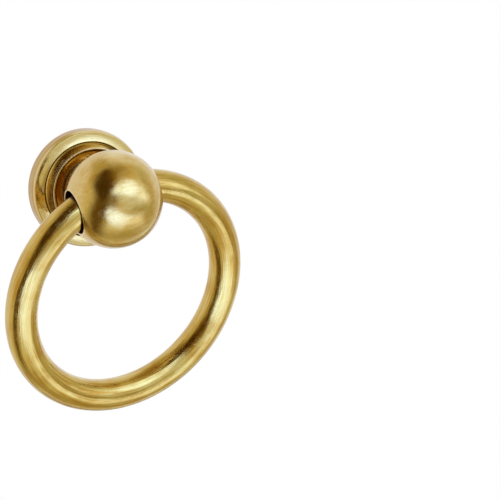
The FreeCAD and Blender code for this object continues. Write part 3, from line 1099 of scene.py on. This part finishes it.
@dataclass(frozen=True)
class Studio:
    """Camera, white floor and soft light, in millimetres and pixels.

    The camera's place, turn and lens were found from the outlines of the ball, the ring and the
    rose in the photograph. The panels were set out and then adjusted, with a least-squares
    fit, until the brass shows them as it shows the room in the photograph. Brass takes the blue out
    of a reflection, so the boxes of the ball's two highlights, which are nearly white, are bluish
    and brighter than white.
    """

    azimuth: float = math.radians(-19.39)
    elevation: float = math.radians(15.24)
    roll: float = math.radians(-13.70)
    lens: float = 230.4
    sensor: float = 36.0
    picture_width: int = 500
    ball_pixel: tuple[float, float] = (113.80, 199.25)
    ball_depth: float = 711.81
    nearest: float = 10.0
    farthest: float = 100000.0
    floor_level: float = -200.0
    floor_reach: float = 4000.0
    dome_radius: float = 6000.0
    dome_steps: int = 7
    room_colour: str = "e0d1a0"
    panels: tuple[SoftPanel, ...] = (
        # Papers round the room, in the edges of the ball, the ring and the rose
        SoftPanel("back_paper", 157, -9, -26, 59, 53.2, 11, "efebf2", 1.00, -0.26, -0.27),
        SoftPanel("left_paper", -146, 13, 56, 45, 45.8, 14, "efe8eb", 1.00, 0.46, 0.02),
        SoftPanel("right_paper", 136, -27, -17, 16, 70.5, 14, "e5e9ff", 1.25, -0.17, -0.32),
        SoftPanel("side_card", 59, -2, -46, 15, 51.5, 11, "c8bd91", 1.00, 0.05, -0.09),
        SoftPanel("floor", -21, -80, 5, 31, 28.1, 16, "c0b180", 1.00, -0.18, 0.57),
        SoftPanel("ceiling", 169, 87, 178, 24, 35.5, 12, "c6b47c", 1.00, -1.48, -0.85),
        # Dark and amber cards, in the ball's blotch, over it, and in the ring's dark bands
        SoftPanel("dark_top", -36, 69, 6, 21, 22.2, 9, "4c3416", 1.00, -0.76, 0.32),
        SoftPanel("dark_flag", -39, 30, 6, 21, 30.9, 12, "4c3409", 1.00, 0.03, -0.33),
        SoftPanel("dark_arm", -70, -22, 49, 46, 18.4, 13, "6b5222", 1.00, -0.21, 0.37),
        SoftPanel("amber_top", 23, 64, 34, 30, 8.0, 18, "8a6a10", 1.00, -0.06, 0.96),
        # Soft boxes, in the ball's two highlights and the ring's bright bands, and the card between
        SoftPanel("key_box", 19, 26, -17, 31, 17.8, 8, "b8ccff", 2.95, -0.47, 0.43),
        SoftPanel("key_end", 54, -3, -68, 16, 9.7, 16, "dce4ff", 2.07, 0.73, -0.25),
        SoftPanel("gap_card", 19, -10, -4, 22, 18.5, 8, "e3e4e0", 1.00, 0.25, -0.33),
        SoftPanel("fill_box", -23, -32, -60, 29, 17.2, 7, "b6c8ff", 2.95, 0.36, 0.26),
        SoftPanel("low_box", 36, -48, 10, 24, 10.5, 7, "d3dcff", 2.08, -0.04, 0.29),
        # Smaller cards, in the ring's edges and in the rose
        SoftPanel("right_low", 73, -37, 15, 23, 18.2, 14, "c6b887", 1.00, 0.49, 0.55),
        SoftPanel("limb_card", -175, -51, -7, 34, 5.9, 5, "a08e5e", 1.00, 1.00, -0.50),
        SoftPanel("line_card", 44, -24, -14, 23, 6.1, 8, "b9b080", 1.00, -0.68, 0.08),
        SoftPanel("rose_box", -3, -61, -5, 30, 6.5, 13, "ebe4c1", 1.00, -0.41, -0.43),
        SoftPanel("rose_dark", -20, 10, -26, 11, 16.5, 9, "8d7a47", 1.00, 0.01, 0.13),
    )

    def place_camera(self, ball_centre: Vector) -> None:
        """Puts the camera where the ball's centre falls on its pixel, at the photograph's angle.

        Args:
            ball_centre: The ball's centre in millimetres.
        """
        back = Vector((math.sin(self.azimuth) * math.cos(self.elevation),
                       -math.cos(self.azimuth) * math.cos(self.elevation), math.sin(self.elevation)))
        level_right = Vector((0, 0, 1)).cross(back).normalized()
        level_up = back.cross(level_right)
        right = math.cos(self.roll) * level_right + math.sin(self.roll) * level_up
        up = back.cross(right)
        pixels_per_unit = self.lens / self.sensor * self.picture_width
        aside, below = ((pixel - self.picture_width / 2) / pixels_per_unit * self.ball_depth
                        for pixel in self.ball_pixel)
        place = ball_centre - right * aside + up * below + back * self.ball_depth
        camera_data = bpy.data.cameras.new("camera")
        camera_data.lens = self.lens
        camera_data.sensor_width = self.sensor
        camera_data.clip_start = self.nearest * MM
        camera_data.clip_end = self.farthest * MM
        camera = bpy.data.objects.new("camera", camera_data)
        turn = Matrix((right, up, back)).transposed().to_4x4()
        camera.matrix_world = Matrix.Translation(place * MM) @ turn
        bpy.context.scene.collection.objects.link(camera)
        bpy.context.scene.camera = camera

    def lay_floor(self) -> None:
        """Makes the white floor, which keeps the object's shadow but stays out of its reflections."""
        mesh = bpy.data.meshes.new("floor")
        reach, level = self.floor_reach * MM, self.floor_level * MM
        mesh.from_pydata([(-reach, -reach, level), (reach, -reach, level), (reach, reach, level),
                          (-reach, reach, level)], [], [(0, 1, 2, 3)])
        floor = bpy.data.objects.new("floor", mesh)
        bpy.context.scene.collection.objects.link(floor)
        material = new_material("white_paper")
        tree = material.node_tree
        paper = add_node(tree, "ShaderNodeBsdfDiffuse", inputs={"Color": linear_colour("ffffff")})
        add_node(tree, "ShaderNodeOutputMaterial", inputs={"Surface": paper.outputs[0]})
        floor.data.materials.append(material)
        floor.visible_glossy = False

    def light_world(self) -> None:
        """Lights the room plain white, apart from what the brass mirrors."""
        world = bpy.data.worlds.new("studio")
        world.use_nodes = True
        tree = world.node_tree
        tree.nodes.clear()
        background = add_node(tree, "ShaderNodeBackground", inputs={"Color": linear_colour("ffffff")})
        add_node(tree, "ShaderNodeOutputWorld", inputs={"Surface": background.outputs[0]})
        bpy.context.scene.world = world
        world.cycles_visibility.glossy = False

    def hang_dome(self) -> None:
        """Hangs the studio's papers and soft boxes round the object, for its reflections alone.

        They are painted on the points of a dome by their directions, and shine by themselves.
        """
        shell = bmesh.new()
        bmesh.ops.create_icosphere(shell, subdivisions=self.dome_steps, radius=self.dome_radius * MM)
        mesh = bpy.data.meshes.new("dome")
        shell.to_mesh(mesh)
        shell.free()
        directions = np.empty(3 * len(mesh.vertices), np.float32)
        mesh.vertices.foreach_get("co", directions)
        directions = directions.reshape(-1, 3) / (self.dome_radius * MM)
        light = np.tile(linear_colour(self.room_colour), (len(directions), 1))
        for panel in self.panels:
            light = panel.cover(directions, light)
        paint = mesh.attributes.new("light", "FLOAT_COLOR", "POINT")
        paint.data.foreach_set("color", light.astype(np.float32).ravel())
        dome = bpy.data.objects.new("dome", mesh)
        bpy.context.scene.collection.objects.link(dome)
        material = new_material("lit_panels")
        tree = material.node_tree
        light_here = add_node(tree, "ShaderNodeAttribute", {"attribute_name": "light"}).outputs["Color"]
        lamp = add_node(tree, "ShaderNodeEmission", inputs={"Color": light_here})
        add_node(tree, "ShaderNodeOutputMaterial", inputs={"Surface": lamp.outputs[0]})
        material.cycles.emission_sampling = "NONE"
        mesh.materials.append(material)
        for rays in ("camera", "diffuse", "transmission", "volume_scatter", "shadow"):
            setattr(dome, f"visible_{rays}", False)

    def build(self, ball_centre: Vector) -> None:
        """Sets up the camera, the floor, the light and the dome.

        Args:
            ball_centre: The ball's centre in millimetres.
        """
        self.place_camera(ball_centre)
        self.lay_floor()
        self.light_world()
        self.hang_dome()


def main() -> None:
    """Builds the pieces in order, then the studio round them."""
    logging.basicConfig(level=logging.INFO, format="%(name)s: %(message)s")
    bpy.context.scene.view_settings.view_transform = "Standard"
    rose = Rose()
    knob = BallKnob(seat_height=rose.seat_height)
    for maker in (rose, knob, PullRing(knob)):
        piece = maker.build()
        log.info("%s: %d faces", piece.name, len(piece.data.polygons))
    Studio().build(Vector((0, -knob.standoff, 0)))


if __name__ == "__main__":
    main()
